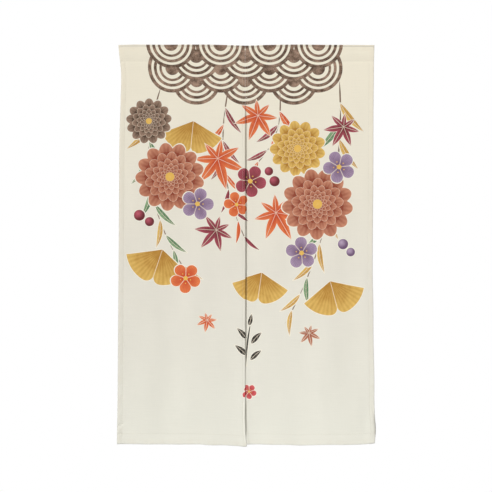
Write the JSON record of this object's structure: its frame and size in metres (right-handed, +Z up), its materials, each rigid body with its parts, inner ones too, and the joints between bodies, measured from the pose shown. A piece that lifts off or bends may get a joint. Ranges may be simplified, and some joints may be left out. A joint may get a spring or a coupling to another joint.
{
  "type": "partition curtain",
  "caption": "Cream cloth doorway curtain that hangs flat from a rod pocket, sewn closed at the top of its middle and open below as a slit down to the hem.",
  "frame": {"origin": "the middle of the top edge, at the front of the rod pocket, where the curtain is hung", "axes": "+Z up, +X to the right seen from the front, and +Y to the back, so the printed front faces -Y"},
  "size_m": [0.9077, 0.0152, 1.409],
  "materials": {
    "panel_cloth": "matt plain weave, cream, printed on the front",
    "pocket_cloth": "matt plain weave, cream, printed on the front"
  },
  "bodies": {
    "root": {"heading": "pocket_cloth", "panel_left": "panel_cloth", "panel_right": "panel_cloth"}
  },
  "joints": []
}
